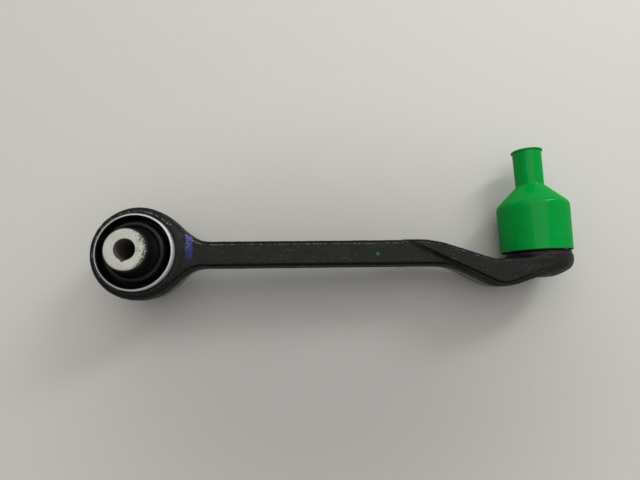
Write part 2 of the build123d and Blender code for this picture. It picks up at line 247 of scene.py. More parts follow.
def surfaceOf(field, low, high, cell):
    # surface nets: each cell that the zero passes gets one point, the mean of the crossings on its edges,
    # and each grid edge that the zero crosses gets the face of its four cells
    axes = [np.arange(a, b + cell, cell) for a, b in zip(low, high)]
    values = field(*np.meshgrid(*axes, indexing="ij"))
    inside = values < 0
    counts = sum(
        inside[i : i - 1 or None, j : j - 1 or None, k : k - 1 or None].astype(np.int8)
        for i, j, k in np.ndindex(2, 2, 2)
    )
    cells = np.argwhere((counts > 0) & (counts < 8))
    number = np.full(counts.shape, -1)
    number[tuple(cells.T)] = np.arange(len(cells))
    total = np.zeros((len(cells), 3))
    found = np.zeros(len(cells))
    for axis in range(3):
        others = [i for i in range(3) if i != axis]
        for first, second in np.ndindex(2, 2):
            start = np.zeros(3, int)
            start[others] = first, second
            finish = start.copy()
            finish[axis] = 1
            a = values[tuple((cells + start).T)]
            b = values[tuple((cells + finish).T)]
            crossed = (a < 0) != (b < 0)
            part = np.where(crossed, a / np.where(crossed, a - b, 1), 0)
            crossing = start + part[:, None] * (finish - start)
            total += crossing * crossed[:, None]
            found += crossed
    points = (cells + total / found[:, None]) * cell + np.array([a[0] for a in axes])
    faces = []
    for axis in range(3):
        one, two = np.roll(np.eye(3, dtype=int), -axis - 1, axis=0)[:2]
        near = inside[tuple(slice(0, -1) if i == axis else slice(None) for i in range(3))]
        far = inside[tuple(slice(1, None) if i == axis else slice(None) for i in range(3))]
        edges = np.argwhere(near != far)
        ring = [number[tuple((edges - s).T)] for s in (one * 0, one, one + two, two)]
        quads = np.stack(ring, axis=-1)
        leaving = near[tuple(edges.T)]
        faces.append(np.where(leaving[:, None], quads, quads[:, ::-1]))
    return points, np.vstack(faces)


# Nodes


def setSocket(tree, socket, value):
    # a socket takes a plain value, or a link from an output
    if isinstance(value, bpy.types.NodeSocket):
        tree.links.new(value, socket)
    else:
        socket.default_value = value


def addNode(tree, kind, settings=None, **sockets):
    # settings are the node's own choices; in0, in1 and so on name a socket by its number
    made = tree.nodes.new("ShaderNode" + kind)
    for key, value in (settings or {}).items():
        setattr(made, key, value)
    for key, value in sockets.items():
        numbered = key.startswith("in") and key[2:].isdigit()
        setSocket(tree, made.inputs[int(key[2:]) if numbered else key.replace("_", " ")], value)
    return made


def calc(tree, operation, a, b=0.0, clamp=False):
    # one Math node; operation is named as in Blender
    return addNode(tree, "Math", {"operation": operation, "use_clamp": clamp}, in0=a, in1=b).outputs[0]


def product(tree, first, *others):
    # all the values multiplied
    for other in others:
        first = calc(tree, "MULTIPLY", first, other)
    return first


def distance(tree, a, b):
    # root of a squared plus b squared
    squares = (calc(tree, "POWER", side, 2.0) for side in (a, b))
    return calc(tree, "SQRT", calc(tree, "ADD", *squares))


def ranged(tree, value, low, high, first=0.0, last=1.0, kind="LINEAR"):
    # first at low and below, last at high and above, and even between them
    made = addNode(
        tree, "MapRange", {"interpolation_type": kind},
        Value=value, From_Min=low, From_Max=high, To_Min=first, To_Max=last,
    )
    return made.outputs[0]


def between(tree, value, low, high, soft):
    # 1 from low to high, falling to 0 over the soft distance at each end
    rise = ranged(tree, value, low - soft, low)
    return product(tree, rise, ranged(tree, value, high, high + soft, 1.0, 0.0))


def noiseOf(tree, place, scale, detail, roughness=0.5):
    made = addNode(tree, "TexNoise", None, Vector=place, Scale=scale, Detail=detail, Roughness=roughness)
    return made.outputs["Fac"]


def mixColor(tree, share, a, b):
    # a at share 0, b at share 1; sockets 6 and 7 are the node's colours
    return addNode(tree, "Mix", {"data_type": "RGBA"}, in0=share, in6=a, in7=b).outputs[2]


def objectPlace(tree):
    return addNode(tree, "TexCoord").outputs["Object"]


def partsOf(tree, vector):
    return addNode(tree, "SeparateXYZ", None, Vector=vector).outputs


def newGroup(name, inputs, outputs):
    # inputs are (name, value) and outputs names of floats; every socket is made through the interface
    group = bpy.data.node_groups.new(name, "ShaderNodeTree")
    for key, value in inputs:
        socket = group.interface.new_socket(key, in_out="INPUT", socket_type="NodeSocketFloat")
        socket.default_value = value
    for key in outputs:
        group.interface.new_socket(key, in_out="OUTPUT", socket_type="NodeSocketFloat")
    return group, group.nodes.new("NodeGroupInput").outputs, group.nodes.new("NodeGroupOutput").inputs


def speckGroup():
    # small spots: noise over object space, cut between Low and High
    group, given, out = newGroup("specks", (("Scale", 1000.0), ("Low", 0.6), ("High", 0.7)), ("Mask",))
    noise = noiseOf(group, objectPlace(group), given["Scale"], 2.0)
    mask = ranged(group, noise, given["Low"], given["High"], kind="SMOOTHSTEP")
    group.links.new(mask, out["Mask"])
    return group


def grainGroup():
    # uneven skin: a coarse and a fine noise, added by the share of the fine one
    inputs = (("Coarse Scale", 300.0), ("Fine Scale", 1500.0), ("Fine Share", 0.4))
    group, given, out = newGroup("grain", inputs, ("Height", "Tone"))
    place = objectPlace(group)
    coarse = noiseOf(group, place, given["Coarse Scale"], 3.0)
    fine = noiseOf(group, place, given["Fine Scale"], 4.0, 0.6)
    height = calc(group, "ADD", coarse, calc(group, "MULTIPLY", fine, given["Fine Share"]))
    group.links.new(height, out["Height"])
    group.links.new(coarse, out["Tone"])
    return group


groups = {"specks": speckGroup(), "grain": grainGroup()}


def useGroup(tree, name, values):
    # values go to the group's inputs in their order
    made = tree.nodes.new("ShaderNodeGroup")
    made.node_tree = groups[name]
    for socket, value in zip(made.inputs, values):
        setSocket(tree, socket, value)
    return made.outputs


def specksOf(tree, values):
    return useGroup(tree, "specks", values)["Mask"]


def newMaterial(name, **constants):
    # a Principled BSDF whose plain values sit on its own sockets
    material = bpy.data.materials.new(name)
    material.use_nodes = True
    tree = material.node_tree
    inputs = tree.nodes["Principled BSDF"].inputs
    for key, value in constants.items():
        inputs[key.replace("_", " ")].default_value = value
    return material, tree, inputs


def finished(tree, inputs, color, rough, height, depth, strength=1.0):
    # links colour, roughness and a bump that is depth millimetres high
    bump = addNode(tree, "Bump", None, Height=height, Distance=depth * mm, Strength=strength)
    links = {"Base Color": color, "Roughness": rough, "Normal": bump.outputs["Normal"]}
    for key, output in links.items():
        tree.links.new(output, inputs[key])


# Materials. Specks are (scale, low, high), and a skin is (coarse scale, fine scale, share of the fine one).
# Noise lies mostly within noiseRange, which is spread over a finish's roughness.

noiseRange = (0.3, 0.7)

paint = {
    "black": (0.0106, 0.0104, 0.0095, 1.0),
    "deep": (0.0010, 0.0010, 0.0010, 1.0),
    "grey": (0.075, 0.075, 0.069, 1.0),
    "worn": (0.14, 0.135, 0.11, 1.0),
    "lowWall": (0.019, 0.0185, 0.017, 1.0),
    "roughness": (0.42, 0.62), "underside": 0.5, "undersideRange": (0.6, 1.6),
    "level": 0.14, "gloss": 0.4, "glossRoughness": 0.12,
    "skin": (260.0, 1300.0, 0.7), "skinDepth": 0.22, "skinStrength": 0.8,
    "spots": (1150.0, 0.60, 0.70), "clouds": (95.0, 0.38, 0.60), "spotShare": 0.7,
    "deepEdge": (0.12, 0.28),
    "wallFacing": 0.6, "parting": (0.7, 1.9), "soot": 0.9,
    "line": (0.07, 0.15, 0.05),  # from, to and fade, in the mark "edge"
    "lineFacing": 0.8, "lineLean": -0.02, "lineEnd": 226.0, "lineSpecks": (620.0, 0.44, 0.60),
    "faceLevel": 9.5,
    "stripe": (0.036, 0.034, 0.21, 1.0),
    "stripeLight": (0.22, 0.24, 0.50, 1.0),
    "stripePlace": (28.7, 32.4, -4.6, 10.2),  # left, right, low and high
    "stripeSoft": (0.3, 0.4), "stripeFade": (0.25, 1.1), "stripeWander": (2.2, 1.6), "wanderScale": 700.0,
    "stripeSpecks": (900.0, 0.36, 0.52), "stripeCover": (0.35, 0.95), "flecks": (1300.0, 0.52, 0.62),
    "dot": (0.005, 0.12, 0.045, 1.0),
    "dotPlace": (143.8, -5.1, 1.15), "dotSoft": (0.7, 1.15),  # X, Y and radius; shares of the radius
}


def paintedForging():
    # black dip paint over forging scale, with a paint stripe behind the eye and a small dot on the bar
    p = SimpleNamespace(**paint)
    constants = {"Specular_IOR_Level": p.level, "Coat_Roughness": p.glossRoughness}
    material, tree, inputs = newMaterial("paintedForging", **constants)
    place = objectPlace(tree)
    x, y, z = partsOf(tree, place)
    normal = partsOf(tree, addNode(tree, "NewGeometry").outputs["Normal"])
    edge = addNode(tree, "Attribute", {"attribute_name": "edge"}).outputs["Fac"]
    skin = useGroup(tree, "grain", p.skin)

    # grey spots in clouds, partly dust and partly painted glints; near black at the edges and on the upper
    # half of the walls, a painted dark reflection; lighter grey on the lower half, a painted reflection of
    # the floor
    # grey spots: dust in the paint's grain, and painted glints where rough paint catches light
    spots = product(tree, specksOf(tree, p.spots), specksOf(tree, p.clouds), p.spotShare)
    color = mixColor(tree, spots, p.black, p.grey)
    # painted dark reflection: sharp edges go near black
    color = mixColor(tree, ranged(tree, edge, *p.deepEdge), color, p.deep)
    # painted dark reflection: steep walls above the parting line go near black
    steep = calc(tree, "LESS_THAN", normal[2], p.wallFacing)
    upper = ranged(tree, z, *metres(p.parting))
    lower = calc(tree, "SUBTRACT", 1.0, upper)
    color = mixColor(tree, product(tree, steep, upper, p.soot), color, p.deep)
    # painted reflection of the floor: steep walls below the parting line are lighter grey
    color = mixColor(tree, product(tree, steep, lower), color, p.lowWall)

    # edge wear and a painted highlight: a light speckled line along the near face's upper edge, which faces
    # the light
    line = product(
        tree, between(tree, edge, *p.line), calc(tree, "GREATER_THAN", normal[2], p.lineFacing),
        calc(tree, "GREATER_THAN", normal[1], p.lineLean), calc(tree, "LESS_THAN", x, p.lineEnd * mm),
        specksOf(tree, p.lineSpecks),
    )
    color = mixColor(tree, line, color, p.worn)

    # stripe with wandering edges, thinner towards its lower end
    onFace = calc(tree, "GREATER_THAN", z, p.faceLevel * mm)
    left, right, low, high = metres(p.stripePlace)
    softX, softY = metres(p.stripeSoft)
    wander = calc(tree, "SUBTRACT", noiseOf(tree, place, p.wanderScale, 3.0), 0.5)
    edgeX, edgeY = (
        calc(tree, "ADD", value, calc(tree, "MULTIPLY", wander, reach))
        for value, reach in zip((x, y), metres(p.stripeWander))
    )
    stripe = product(
        tree, between(tree, edgeX, left, right, softX), between(tree, edgeY, low, high, softY), onFace,
        ranged(tree, specksOf(tree, p.stripeSpecks), 0.0, 1.0, *p.stripeCover),
    )
    fade = ranged(tree, y, low, high, *p.stripeFade)
    flecks = calc(tree, "MULTIPLY", specksOf(tree, p.flecks), fade, clamp=True)
    ink = mixColor(tree, flecks, p.stripe, p.stripeLight)
    color = mixColor(tree, calc(tree, "MULTIPLY", stripe, fade, clamp=True), color, ink)

    dotX, dotY, dotRadius = metres(p.dotPlace)
    away = distance(tree, calc(tree, "SUBTRACT", x, dotX), calc(tree, "SUBTRACT", y, dotY))
    dot = ranged(tree, away, *(dotRadius * share for share in p.dotSoft), 1.0, 0.0)
    color = mixColor(tree, product(tree, dot, onFace), color, p.dot)

    # the lower half is glossier
    rough = ranged(tree, skin["Tone"], *noiseRange, *p.roughness)
    under = ranged(tree, z, *metres(p.undersideRange), p.underside, 1.0)
    tree.links.new(product(tree, lower, p.gloss), inputs["Coat Weight"])
    finished(tree, inputs, color, product(tree, rough, under), skin["Height"], p.skinDepth, p.skinStrength)
    return material


turning = {
    "marks": 2600.0, "stretch": 0.004, "cloud": (180.0, 900.0, 0.3), "cloudRange": (0.45, 0.9),
    "film": (0.006, 0.006, 0.006, 1.0), "filmEdge": 0.1,
}


def turnedMetal(name, axis, color, dark, roughness, grooves, metallic=1.0, filmRadius=None):
    # metal with fine marks that run round its axis, because the noise reads (turn, distance, level);
    # inside filmRadius a rubber film covers it
    material, tree, inputs = newMaterial(name, Metallic=metallic)
    x, y, z = partsOf(tree, objectPlace(tree))
    if axis == "bush":
        across, along, level = x, y, z
    else:
        across, along, level = calc(tree, "SUBTRACT", x, jointX * mm), z, y
    radius = distance(tree, across, along)
    turn = product(tree, calc(tree, "ARCTAN2", along, across), turning["stretch"])
    place = addNode(tree, "CombineXYZ", None, X=turn, Y=radius, Z=level).outputs[0]
    marks = noiseOf(tree, place, turning["marks"], 3.0)
    cloud = useGroup(tree, "grain", turning["cloud"])["Height"]
    shade = mixColor(tree, ranged(tree, cloud, *turning["cloudRange"]), dark, color)
    if filmRadius:
        bare = ranged(tree, radius, *metres((filmRadius, filmRadius + turning["filmEdge"])))
        shade = mixColor(tree, bare, turning["film"], shade)
        tree.links.new(product(tree, bare, metallic), inputs["Metallic"])
    finished(tree, inputs, shade, ranged(tree, marks, *noiseRange, *roughness), marks, grooves)
    return material


sleeveCoat = {
    "light": (0.52, 0.51, 0.455, 1.0),
    "shade": (0.43, 0.42, 0.37, 1.0),
    "pit": (0.05, 0.047, 0.042, 1.0),
    "worn": (0.07, 0.065, 0.06, 1.0),
    "boreColor": (0.15, 0.14, 0.12, 1.0),
    "metallic": 0.15, "level": 0.4, "roughness": (0.45, 0.68),
    "skin": (220.0, 1600.0, 0.6), "skinRange": (0.55, 1.0), "skinDepth": 0.12, "skinStrength": 0.7,
    "barSide": (4.0, 9.0), "barSideLeast": 0.10,
    "pits": (820.0, 0.54, 0.62), "pitShare": 0.85, "pitDepth": 1.2,
    "rim": (9.8, 11.2), "chips": (900.0, 0.40, 0.50),
    "boreRadius": 8.0, "boreTop": (29.0, 29.6),
}


def sleeveMetal():
    # dull grey metal flake coat with a few dark pits and a chipped rim, most of them on the bar's side; the
    # rim's dark border is chips and partly painted shade of its chamfer
    s = SimpleNamespace(**sleeveCoat)
    constants = {"Metallic": s.metallic, "Specular_IOR_Level": s.level}
    material, tree, inputs = newMaterial("sleeveMetal", **constants)
    x, y, z = partsOf(tree, objectPlace(tree))
    skin = useGroup(tree, "grain", s.skin)
    color = mixColor(tree, ranged(tree, skin["Height"], *s.skinRange), s.shade, s.light)
    side = ranged(tree, x, *metres(s.barSide), s.barSideLeast, 1.0)
    pitted = product(tree, specksOf(tree, s.pits), side, s.pitShare)
    color = mixColor(tree, pitted, color, s.pit)
    radius = distance(tree, x, y)
    # chipped rim on the bar's side: chips, and painted shade of the chamfer
    rim = ranged(tree, radius, *metres(s.rim))
    color = mixColor(tree, product(tree, rim, side, specksOf(tree, s.chips)), color, s.worn)
    # painted shade: darker inside the bore than on the end face
    below = ranged(tree, z, *metres(s.boreTop), 1.0, 0.0)
    bored = product(tree, calc(tree, "LESS_THAN", radius, s.boreRadius * mm), below)
    color = mixColor(tree, bored, color, s.boreColor)
    rough = ranged(tree, skin["Tone"], 0.0, 1.0, *s.roughness)
    height = calc(tree, "SUBTRACT", skin["Height"], product(tree, pitted, s.pitDepth))
    finished(tree, inputs, color, rough, height, s.skinDepth, s.skinStrength)
    return material


moulding = {"coarse": 140.0, "fineShare": 0.35, "bloomRange": (0.45, 0.95)}


def softMaterial(name, color, bloom, roughness, fine, depth, **constants):
    # rubber or plastic: one colour with a faint lighter bloom and a fine moulded skin
    material, tree, inputs = newMaterial(name, **constants)
    skin = useGroup(tree, "grain", (moulding["coarse"], fine, moulding["fineShare"]))
    color = mixColor(tree, ranged(tree, skin["Height"], *moulding["bloomRange"]), color, bloom)
    rough = ranged(tree, skin["Tone"], *noiseRange, *roughness)
    finished(tree, inputs, color, rough, skin["Height"], depth)
    return material


finishes = {
    "painted_forging": paintedForging(),
    "bright_steel": turnedMetal(
        "brightSteel", "bush", color=(0.56, 0.57, 0.58, 1), dark=(0.46, 0.47, 0.48, 1),
        roughness=(0.40, 0.52), grooves=0.002, metallic=0.35, filmRadius=21.78,
    ),
    "sleeve_metal": sleeveMetal(),
    "bush_rubber": softMaterial(
        "bushRubber", color=(0.0040, 0.0040, 0.0044, 1), bloom=(0.0070, 0.0070, 0.0076, 1),
        roughness=(0.34, 0.46), fine=1400.0, depth=0.03, Specular_IOR_Level=0.2,
    ),
    "race_plastic": softMaterial(
        "racePlastic", color=(0.62, 0.60, 0.53, 1), bloom=(0.70, 0.68, 0.61, 1),
        roughness=(0.40, 0.50), fine=900.0, depth=0.02,
    ),
    "stud_steel": turnedMetal(
        "studSteel", "stud", color=(0.52, 0.50, 0.45, 1), dark=(0.36, 0.34, 0.30, 1),
        roughness=(0.26, 0.42), grooves=0.01,
    ),
    "boot_rubber": softMaterial(
        "bootRubber", color=(0.010, 0.010, 0.010, 1), bloom=(0.018, 0.018, 0.018, 1),
        roughness=(0.45, 0.58), fine=1200.0, depth=0.05, Specular_IOR_Level=0.35,
    ),
    "ring_steel": turnedMetal(
        "ringSteel", "stud", color=(0.48, 0.48, 0.47, 1), dark=(0.30, 0.30, 0.30, 1),
        roughness=(0.28, 0.42), grooves=0.01,
    ),
    "cap_plastic": softMaterial(
        "capPlastic", color=(0.0, 0.262, 0.034, 1), bloom=(0.0, 0.29, 0.046, 1),
        roughness=(0.16, 0.24), fine=260.0, depth=0.02,
        Specular_IOR_Level=0.0, Coat_Weight=0.19, Coat_Roughness=0.07,
    ),
}
report("materials")

# Arm: one forging, from the eye along the bar and the raised neck to the housing

arm = {
    "eyeRadius": 27.65, "eyeHalf": 13.0, "eyeDraft": 3.0, "eyeEdge": 2.3, "eyeRoot": 2.6,
    "bore": 22.85, "boreEdge": 0.5,
    "barHalf": 7.6, "barHeight": 11.0, "barAngle": -1.28, "barMiddle": -1.1, "barEdge": 2.0, "barDraft": 1.6,
    "eyeTurn": 76.0, "topBlend": 20.0, "bottomBlend": 14.5,
    "bendAt": 179.0, "bendRadius": 60.0, "topAngle": -20.9,
    "elbowAt": 191.5, "elbowRadius": 50.0, "bottomAngle": -27.9,
    "shelf": -10.7, "shelfRadius": 8.0, "toeAt": 218.1, "toeAngle": 19.0, "toeRadius": 12.0,
    "slabStart": 161.0, "slabRadius": 20.4, "slabEdge": 1.4, "creaseRoot": 1.6,
    "keelAt": 221.6, "keelAngle": 16.7, "keelRadius": 25.0, "keelHalf": 10.0, "keelEdge": 3.0,
    "housingRadius": 20.5, "shoulder": -8.6, "shoulderEdge": 1.6,
    "housingRoot": 3.0, "rootFade": 12.0, "leastRoot": 0.1,
    "base": -22.4, "padRadius": 7.0, "padEdge": 1.0, "dome": 33.0, "domeEdge": 3.0,
    "lip": 19.9, "lipBore": 18.5, "lipTop": -6.9, "lipEdge": 0.5, "lipDepth": 3.0, "lipRoot": 0.6,
    "collar": 17.0, "collarEdge": 0.9, "groove": 15.8, "grooveTop": -3.6, "coreLevel": -4.0, "coreHalf": 4.6,
    "rimTop": 5.353, "rimBore": 12.2, "seat": 13.87, "ringTop": 4.053,
    "flashHalf": 1.1, "flashProud": 0.32, "flashEdge": 0.3, "flashRoot": 0.6, "flashGap": 1.0,
    "waves": ((0.10, 7.0, 3), (0.06, 2.4, 5), (0.035, 1.3, 8)),  # depth, size and seed
    "smoothLevel": -9.5, "smoothFade": 1.5, "smoothRadius": 18.5, "smoothBore": 0.4,
    "markReach": 0.7, "markFrom": 0.25, "markGain": 1.6,
    "markEnd": 226.0, "markFade": 12.0, "markFloor": -10.5,
    "bareLow": (17, -16, 11), "bareHigh": (29, 16, 14),
    "gridLow": (-29.0, -31.0, -21.6), "gridHigh": (269.6, 29.0, 21.6), "cell": 0.635,
}


def armLines(x, y, side):
    # distances to the straight edges of the side view, each drafted away from the middle plane
    a = SimpleNamespace(**arm)
    slope = np.tan(np.radians(a.barAngle))
    half = a.barHalf / np.cos(np.radians(a.barAngle))
    draft = np.tan(np.radians(a.barDraft)) * np.clip(a.barHeight - side, 0, None)
    bendStart = (a.bendAt, a.barMiddle + a.bendAt * slope + half)
    elbow = (a.elbowAt, a.barMiddle + a.elbowAt * slope - half)
    fall = np.tan(np.radians(a.bottomAngle))
    toe = (a.toeAt, elbow[1] + (a.toeAt - elbow[0]) * fall)
    keelToe = (a.keelAt, elbow[1] + (a.keelAt - elbow[0]) * fall)
    return {
        "barTop": above(x, y, (0, a.barMiddle + half), a.barAngle) - draft,
        "barBottom": -above(x, y, (0, a.barMiddle - half), a.barAngle) - draft,
        "neckTop": above(x, y, bendStart, a.topAngle) - draft,
        "neckBottom": -above(x, y, elbow, a.bottomAngle),
        "shelf": y - a.shelf - draft,
        "toe": -above(x, y, toe, a.toeAngle),
        "keel": -above(x, y, keelToe, a.keelAngle),
        "middle": y - a.barMiddle - x * slope,
    }


def slabSide(x, side):
    # plan of the neck: tangents from the bar's half height to the housing's circle, then the circle
    a = SimpleNamespace(**arm)
    runX, runZ = jointX - a.slabStart, -a.barHeight
    spread = np.arctan2(runZ, runX) + np.arcsin(a.slabRadius / np.hypot(runX, runZ))
    along = (x - a.slabStart) * np.cos(spread) + (side - a.barHeight) * np.sin(spread)
    beside = (side - a.barHeight) * np.cos(spread) - (x - a.slabStart) * np.sin(spread)
    tangent = np.sqrt(runX**2 + runZ**2 - a.slabRadius**2)
    return np.where(along < tangent, beside, np.hypot(x - jointX, side) - a.slabRadius)


def armField(x, y, z):
    # smooth unions of the eye, the bar, the neck slab, the keel and the housing, less the bore and the cavity
    a = SimpleNamespace(**arm)
    side = np.abs(z)
    lines = armLines(x, y, side)
    toeTurn = a.toeAngle - a.bottomAngle

    # upper and lower edge of bar and neck, and their fillets with the eye
    top = smoothMax(lines["barTop"], lines["neckTop"], bendWidth(a.bendRadius, a.barAngle - a.topAngle))
    top = smoothMin(top, lines["shelf"], bendWidth(a.shelfRadius, a.topAngle))
    elbowTurn = a.barAngle - a.bottomAngle
    low = smoothMin(lines["barBottom"], lines["neckBottom"], bendWidth(a.elbowRadius, elbowTurn))
    low = smoothMax(low, lines["toe"], bendWidth(a.toeRadius, toeTurn))
    fromEye = np.hypot(x, y)
    draft = np.radians(a.eyeDraft)
    eyeWall = (fromEye - a.eyeRadius + side * np.tan(draft)) * np.cos(draft)
    upperSide = smoothMin(eyeWall, np.maximum(top, -x), bendWidth(a.topBlend, a.eyeTurn))
    lowerSide = smoothMin(eyeWall, np.maximum(low, -x), bendWidth(a.bottomBlend, a.eyeTurn))
    outline = np.where(
        lines["middle"] > 0,
        np.maximum(upperSide, np.minimum(low, eyeWall)),
        np.maximum(lowerSide, np.minimum(top, eyeWall)),
    )
    outline = np.maximum(outline, x - jointX)
    body = roundMax(outline, side - a.barHeight, a.barEdge)
    eye = roundMax(eyeWall, side - a.eyeHalf, a.eyeEdge)
    body = smoothMin(body, eye, a.eyeRoot)

    # neck slab and keel
    slabLow = smoothMax(lines["neckBottom"], lines["toe"], bendWidth(a.toeRadius, toeTurn))
    slab = roundMax(np.maximum(top, slabLow), slabSide(x, side), a.slabEdge)
    body = smoothMin(body, slab, a.creaseRoot)
    keelTurn = a.keelAngle - a.bottomAngle
    keelLow = smoothMax(lines["neckBottom"], lines["keel"], bendWidth(a.keelRadius, keelTurn))
    keelBody = np.maximum(np.maximum(keelLow, lines["shelf"] + a.keelEdge), x - jointX)
    keel = roundMax(keelBody, side - a.keelHalf, a.keelEdge)
    body = smoothMin(body, keel, a.keelEdge)

    # housing with its domed base and the lip on its shoulder
    reach = np.hypot(x - jointX, z)
    domeLevel = a.base + np.sqrt(a.dome**2 - a.padRadius**2)
    dome = np.hypot(reach, y - domeLevel) - a.dome
    housing = roundMax(reach - a.housingRadius, dome, a.domeEdge)
    housing = roundMax(housing, a.base - y, a.padEdge)
    housing = roundMax(housing, y - a.shoulder, a.shoulderEdge)
    lip = roundMax(np.maximum(reach - a.lip, a.lipBore - reach), y - a.lipTop, a.lipEdge)
    housing = smoothMin(housing, np.maximum(lip, a.shoulder - a.lipDepth - y), a.lipRoot)
    root = a.housingRoot * np.clip((jointX - x) / a.rootFade, a.leastRoot, 1)
    body = smoothMin(body, housing, root)

    # flash line at half height
    flash = np.minimum(outline, keelBody)
    flash = np.minimum(flash, np.maximum(housing, y - a.shoulder + a.flashGap))
    flash = roundMax(flash - a.flashProud, side - a.flashHalf, a.flashEdge)
    body = smoothMin(body, flash, a.flashRoot)

    # collar over the boot's groove, bore, and the cavity with its mouth
    body = np.minimum(body, np.maximum(reach - a.groove, np.abs(y - a.coreLevel) - a.coreHalf))
    collar = roundMax(reach - a.collar, y - a.rimTop, a.collarEdge)
    body = np.minimum(body, np.maximum(collar, a.grooveTop - y))
    body = roundMax(body, a.bore - fromEye, a.boreEdge)
    cavity = np.where(y > ballLevel, reach, np.hypot(reach, y - ballLevel)) - a.seat
    cavity = np.maximum(cavity, y - a.ringTop)
    mouth = np.maximum(reach - a.rimBore, ballLevel - y)
    return np.maximum(body, -np.minimum(cavity, mouth))


def roughArmField(x, y, z):
    # the forged skin: three sizes of waves, none on the machined mouth of the housing or in the bore
    a = SimpleNamespace(**arm)
    points = np.stack((x, y, z), axis=-1)
    raised = np.clip((y - a.smoothLevel) / a.smoothFade, 0, 1)
    forged = 1 - raised * (np.hypot(x - jointX, z) < a.smoothRadius)
    forged = forged * np.clip(np.hypot(x, y) - a.bore - a.smoothBore, 0, 1)
    waves = sum(depth * unevenness(points, size, seed) for depth, size, seed in a.waves)
    return armField(x, y, z) + forged * waves


def edgesOf(points):
    # 0 to 1 by how sharp an outer edge is, which the field's Laplacian tells; 0 low on the housing and
    # where the eye's edge crosses the bar
    a = SimpleNamespace(**arm)
    steps = np.eye(3) * a.markReach
    curve = sum(armField(*(points + s).T) + armField(*(points - s).T) for s in steps) / a.markReach**2
    mark = np.clip((curve - a.markFrom) * a.markGain, 0, 1)
    past = np.clip((points[:, 0] - a.markEnd) / a.markFade, 0, 1)
    mark *= 1 - past * (points[:, 1] < a.markFloor)
    mark[np.all((points > a.bareLow) & (points < a.bareHigh), axis=1)] = 0
    return mark


points, faces = surfaceOf(armField, arm["gridLow"], arm["gridHigh"], arm["cell"])
report(f"arm's grid: {len(points)} points")
points = settle(armField, points)
marks = {"edge": edgesOf(points)}
addPiece("armForging", settle(roughArmField, points), faces, "painted_forging", ["arm"], "forging", 60, marks)

# Bush

bush = {
    "ring": 22.85, "ringWall": 1.4, "ringHalf": 17.0, "ringEdge": 1.1, "innerEdge": 0.15,
    "sleeve": 11.7, "bore": 6.1, "sleeveHalf": 30.0, "sleeveEdge": 0.7, "boreEdge": 0.3,
    "notchDepth": 1.3, "notchWidth": 3.0, "notchAngle": -99.0, "notchReach": 0.5, "notchTurn": 1.0,
    "bond": 11.72, "bondEdge": 0.25, "skin": 12.52, "skinTop": 28.4, "skinEdge": 0.4, "flankBase": 22.6,
    "crest": 16.3, "crestLevel": 15.9, "crestRadius": 1.6,
    "groove": 19.2, "grooveLevel": 8.0, "outer": 21.43, "edgeLevel": 15.0,
    "leave": (0.5, -3.4), "grooveIn": (-1.2, 0.3), "grooveOut": (1.1, -0.2), "arrive": (0.0, -4.2),
    "flankPoints": 16, "crestPoints": 14, "shortest": 1e-3,
}


def notched(radius, level, angle):
    # in polar form the notch is depth end / (cos d + lean |sin d|), d being the turn from its middle
    b = SimpleNamespace(**bush)
    turn = (angle - np.radians(b.notchAngle) + np.pi) % (2 * np.pi) - np.pi
    lean = 2 * b.notchDepth / b.notchWidth
    notch = (b.bore + b.notchDepth) / (np.cos(turn) + lean * np.abs(np.sin(turn)))
    inNotch = (radius < b.bore + b.notchReach) & (np.abs(turn) < b.notchTurn)
    return np.where(inNotch, np.maximum(radius, notch), radius)


def bushTube(inner, outer, half, innerEdge, outerEdge, segments, shape=None):
    # a rectangular section with rounded edges, turned round the bush's axis
    section = band(inner, outer, -half, half, innerEdge, outerEdge)
    return turned(roundedLine(section, step=2.0), "bush", segments, shape=shape)


def bushBody():
    # the half profile runs from the sleeve's bond up its skin, down a hollow arc on the flank, over the
    # crest's half circle and through the groove's Bezier curve to the ring, and is then mirrored
    b = SimpleNamespace(**bush)
    skin = roundedLine(
        [
            (b.bond, 0, 0), (b.bond, b.skinTop, b.bondEdge),
            (b.skin, b.skinTop, b.skinEdge), (b.skin, b.flankBase, 0),
        ],
        step=1.2, closed=False,
    )
    flankWidth = b.crest - b.crestRadius - b.skin
    flankHeight = b.flankBase - b.crestLevel
    flankRadius = (flankWidth**2 + flankHeight**2) / (2 * flankWidth)
    sweep = np.linspace(0, np.arcsin(flankHeight / flankRadius), b.flankPoints)[1:]
    flank = np.stack(
        (b.skin + flankRadius * (1 - np.cos(sweep)), b.flankBase - flankRadius * np.sin(sweep)), axis=-1
    )
    roll = np.linspace(np.pi, 0, b.crestPoints)
    crest = (b.crest, b.crestLevel) + b.crestRadius * np.stack((np.cos(roll), np.sin(roll)), axis=-1)
    start = np.array((b.crest + b.crestRadius, b.crestLevel))
    bottom = np.array((b.groove, b.grooveLevel))
    finish = np.array((b.outer, b.edgeLevel))
    groove = curveThrough(
        (start, start + b.leave), (bottom, bottom + b.grooveIn, bottom + b.grooveOut),
        (finish, finish + b.arrive),
    )
    foot = [(b.outer, 0.0)]
    half = np.vstack((skin, flank, crest, groove, foot))
    half = half[np.append(True, np.linalg.norm(np.diff(half, axis=0), axis=1) > b.shortest)]
    profile = np.vstack((half[:-1], foot, half[-2:0:-1] * (1, -1)))
    return turned(profile, "bush", segments=224)


b = SimpleNamespace(**bush)
ring = bushTube(b.ring - b.ringWall, b.ring, b.ringHalf, b.innerEdge, b.ringEdge, segments=256)
sleeve = bushTube(b.bore, b.sleeve, b.sleeveHalf, b.boreEdge, b.sleeveEdge, segments=288, shape=notched)
addPiece("bushRing", *ring, "bright_steel", ["bush_outer_sleeve"], "forging")
addPiece("bushSleeve", *sleeve, "sleeve_metal", ["bush_inner_sleeve"], "bush_core", 30)
addPiece("bushBody", *bushBody(), "bush_rubber", ["bush_rubber"], "forging")

# Ball stud and its boot

